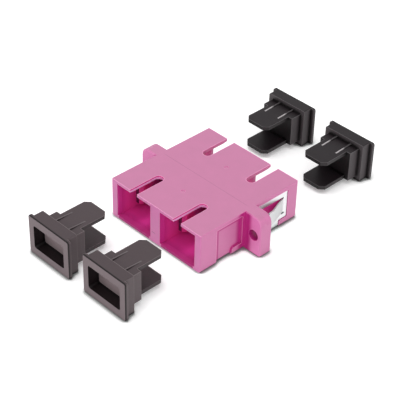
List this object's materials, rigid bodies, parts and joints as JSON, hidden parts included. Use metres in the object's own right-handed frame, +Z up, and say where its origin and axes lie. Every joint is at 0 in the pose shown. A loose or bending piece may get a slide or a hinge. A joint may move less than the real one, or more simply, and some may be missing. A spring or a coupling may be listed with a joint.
{
  "type": "sc duplex fibre adapter",
  "caption": "Duplex fibre adapter for square plugs, with keyed ports at both ends, screw ears, a sprung steel panel clip and its dust caps pulled out of the ports.",
  "frame": {"origin": "middle of the adapter's underside, in the seam plane between its two housing halves", "axes": "+X across the two ports, +Y through the ports towards the half that carries the panel clip, +Z up"},
  "size_m": [0.0346, 0.0696, 0.0091],
  "materials": {
    "housing_plastic": "fine satin moulding in magenta",
    "insert_plastic": "satin moulding in magenta",
    "clip_steel": "bright spring steel",
    "sleeve_ceramic": "ground white zirconia",
    "cap_plastic": "satin moulding in black"
  },
  "bodies": {
    "adapter": {"housing_front": "housing_plastic", "housing_rear": "housing_plastic", "panel_clip": "clip_steel", "latch_insert_front_left": "insert_plastic", "latch_insert_front_right": "insert_plastic", "latch_insert_rear_left": "insert_plastic", "latch_insert_rear_right": "insert_plastic", "alignment_sleeve_left": "sleeve_ceramic", "alignment_sleeve_right": "sleeve_ceramic"},
    "cap_front_left": {"dust_cap_front_left": "cap_plastic"},
    "cap_front_right": {"dust_cap_front_right": "cap_plastic"},
    "cap_rear_left": {"dust_cap_rear_left": "cap_plastic"},
    "cap_rear_right": {"dust_cap_rear_right": "cap_plastic"}
  },
  "joints": [
    {"name": "cap_front_left_slide", "type": "slide", "parent": "adapter", "child": "cap_front_left", "axis": [0.1316, 0.9913, 0], "range_m": [0, 0.0171]},
    {"name": "cap_front_right_slide", "type": "slide", "parent": "adapter", "child": "cap_front_right", "axis": [-0.0823, 0.9966, 0], "range_m": [0, 0.01701]},
    {"name": "cap_rear_left_slide", "type": "slide", "parent": "adapter", "child": "cap_rear_left", "axis": [0.1168, -0.9932, 0], "range_m": [0, 0.01968]},
    {"name": "cap_rear_right_slide", "type": "slide", "parent": "adapter", "child": "cap_rear_right", "axis": [-0.1195, -0.9928, 0], "range_m": [0, 0.01909]}
  ]
}
